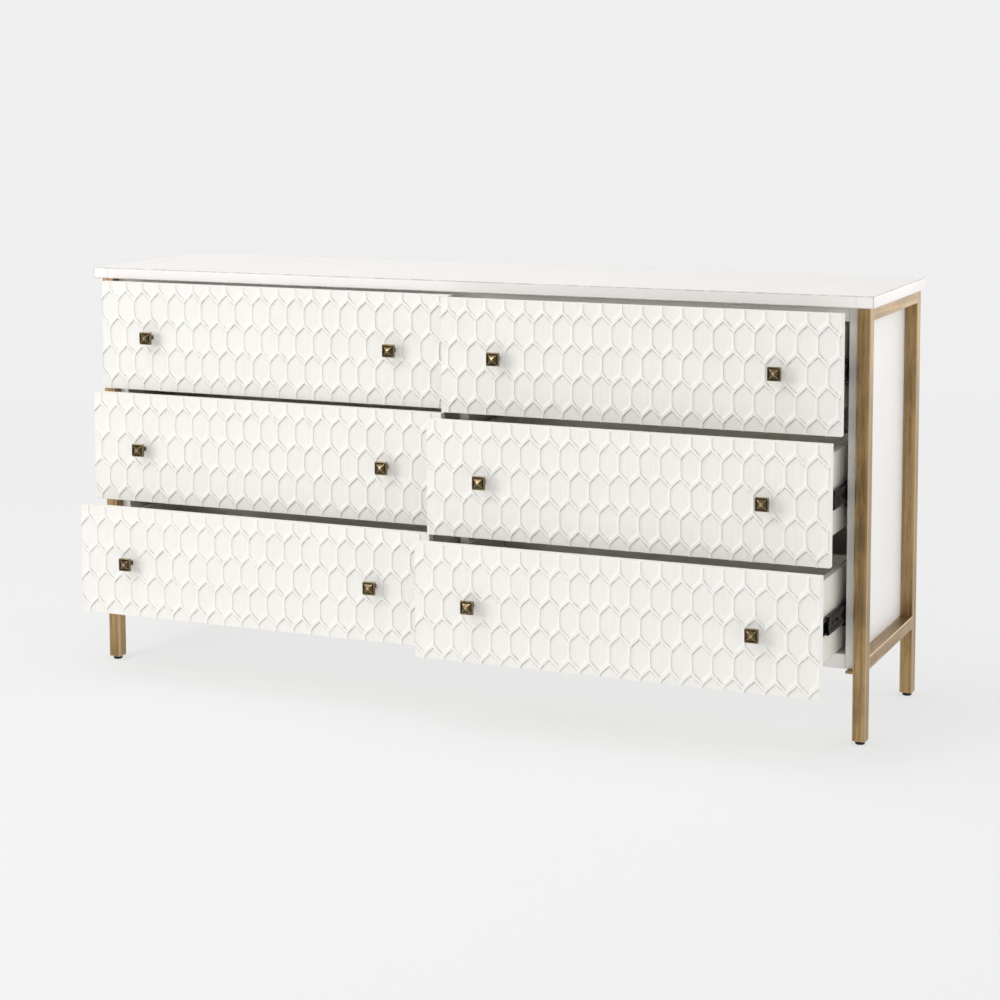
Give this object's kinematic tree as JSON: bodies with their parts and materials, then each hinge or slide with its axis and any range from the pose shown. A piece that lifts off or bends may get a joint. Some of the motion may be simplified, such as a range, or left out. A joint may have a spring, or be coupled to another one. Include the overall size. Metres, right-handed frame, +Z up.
{
  "type": "dresser with drawers",
  "caption": "Low wide dresser: painted wooden case between square-tube metal end frames, with carved-front drawers on telescopic side slides and square pyramid knobs.",
  "frame": {"origin": "on the floor, at the centre of the rectangle that the four legs stand on (the leg frame, not the open drawers)", "axes": "+X to the right as seen from the front, +Y to the back, +Z up; the drawers open towards -Y"},
  "size_m": [1.614, 0.62, 0.815],
  "materials": {
    "painted_top": "satin white paint over wood, edges slightly worn",
    "painted_case": "satin white paint over wood",
    "carved_front": "hand-carved wood, warm white paint with a grey wash in the cuts",
    "drawer_box": "matt white paint over plywood",
    "brushed_brass": "brushed antique brass",
    "antique_brass": "dark antique brass, polished on the high edges",
    "black_slide_steel": "black coated steel",
    "glide_plastic": "matt black",
    "screw_steel": "zinc plated"
  },
  "bodies": {
    "case": {"top": "painted_top", "front_left_leg": "brushed_brass", "front_right_leg": "brushed_brass", "back_left_leg": "brushed_brass", "back_right_leg": "brushed_brass", "top_rails": "brushed_brass", "lower_rails": "brushed_brass", "support_bars": "brushed_brass", "glides": "glide_plastic", "left_side_panel": "painted_case", "right_side_panel": "painted_case", "partition": "painted_case", "case_top": "painted_case", "case_bottom": "painted_case", "back_panel": "painted_case", "cabinet_slides": "black_slide_steel", "slide_screws": "screw_steel", "case_screws": "screw_steel"},
    "upper_left_drawer": {"upper_left_front": "carved_front", "upper_left_box_sides": "drawer_box", "upper_left_box_ends": "drawer_box", "upper_left_bottom": "drawer_box", "upper_left_knobs": "antique_brass", "upper_left_runners": "black_slide_steel"},
    "upper_left_slide": {"upper_left_middle_slides": "black_slide_steel"},
    "upper_right_drawer": {"upper_right_front": "carved_front", "upper_right_box_sides": "drawer_box", "upper_right_box_ends": "drawer_box", "upper_right_bottom": "drawer_box", "upper_right_knobs": "antique_brass", "upper_right_runners": "black_slide_steel"},
    "upper_right_slide": {"upper_right_middle_slides": "black_slide_steel"},
    "middle_left_drawer": {"middle_left_front": "carved_front", "middle_left_box_sides": "drawer_box", "middle_left_box_ends": "drawer_box", "middle_left_bottom": "drawer_box", "middle_left_knobs": "antique_brass", "middle_left_runners": "black_slide_steel"},
    "middle_left_slide": {"middle_left_middle_slides": "black_slide_steel"},
    "middle_right_drawer": {"middle_right_front": "carved_front", "middle_right_box_sides": "drawer_box", "middle_right_box_ends": "drawer_box", "middle_right_bottom": "drawer_box", "middle_right_knobs": "antique_brass", "middle_right_runners": "black_slide_steel"},
    "middle_right_slide": {"middle_right_middle_slides": "black_slide_steel"},
    "lower_left_drawer": {"lower_left_front": "carved_front", "lower_left_box_sides": "drawer_box", "lower_left_box_ends": "drawer_box", "lower_left_bottom": "drawer_box", "lower_left_knobs": "antique_brass", "lower_left_runners": "black_slide_steel"},
    "lower_left_slide": {"lower_left_middle_slides": "black_slide_steel"},
    "lower_right_drawer": {"lower_right_front": "carved_front", "lower_right_box_sides": "drawer_box", "lower_right_box_ends": "drawer_box", "lower_right_bottom": "drawer_box", "lower_right_knobs": "antique_brass", "lower_right_runners": "black_slide_steel"},
    "lower_right_slide": {"lower_right_middle_slides": "black_slide_steel"}
  },
  "joints": [
    {"name": "upper_left_drawer_slide", "type": "slide", "parent": "case", "child": "upper_left_drawer", "axis": [0, -1, 0], "range_m": [-0.048, 0.272]},
    {"name": "upper_left_middle_member_slide", "type": "slide", "parent": "case", "child": "upper_left_slide", "axis": [0, -1, 0], "range_m": [-0.024, 0.136]},
    {"name": "upper_right_drawer_slide", "type": "slide", "parent": "case", "child": "upper_right_drawer", "axis": [0, -1, 0], "range_m": [-0.09, 0.23]},
    {"name": "upper_right_middle_member_slide", "type": "slide", "parent": "case", "child": "upper_right_slide", "axis": [0, -1, 0], "range_m": [-0.045, 0.115]},
    {"name": "middle_left_drawer_slide", "type": "slide", "parent": "case", "child": "middle_left_drawer", "axis": [0, -1, 0], "range_m": [-0.083, 0.237]},
    {"name": "middle_left_middle_member_slide", "type": "slide", "parent": "case", "child": "middle_left_slide", "axis": [0, -1, 0], "range_m": [-0.0415, 0.1185]},
    {"name": "middle_right_drawer_slide", "type": "slide", "parent": "case", "child": "middle_right_drawer", "axis": [0, -1, 0], "range_m": [-0.156, 0.164]},
    {"name": "middle_right_middle_member_slide", "type": "slide", "parent": "case", "child": "middle_right_slide", "axis": [0, -1, 0], "range_m": [-0.078, 0.082]},
    {"name": "lower_left_drawer_slide", "type": "slide", "parent": "case", "child": "lower_left_drawer", "axis": [0, -1, 0], "range_m": [-0.138, 0.182]},
    {"name": "lower_left_middle_member_slide", "type": "slide", "parent": "case", "child": "lower_left_slide", "axis": [0, -1, 0], "range_m": [-0.069, 0.091]},
    {"name": "lower_right_drawer_slide", "type": "slide", "parent": "case", "child": "lower_right_drawer", "axis": [0, -1, 0], "range_m": [-0.21, 0.11]},
    {"name": "lower_right_middle_member_slide", "type": "slide", "parent": "case", "child": "lower_right_slide", "axis": [0, -1, 0], "range_m": [-0.105, 0.055]}
  ],
  "couplings": [
    {"joint": "upper_left_middle_member_slide", "follows": "upper_left_drawer_slide", "ratio": 0.5},
    {"joint": "upper_right_middle_member_slide", "follows": "upper_right_drawer_slide", "ratio": 0.5},
    {"joint": "middle_left_middle_member_slide", "follows": "middle_left_drawer_slide", "ratio": 0.5},
    {"joint": "middle_right_middle_member_slide", "follows": "middle_right_drawer_slide", "ratio": 0.5},
    {"joint": "lower_left_middle_member_slide", "follows": "lower_left_drawer_slide", "ratio": 0.5},
    {"joint": "lower_right_middle_member_slide", "follows": "lower_right_drawer_slide", "ratio": 0.5}
  ]
}
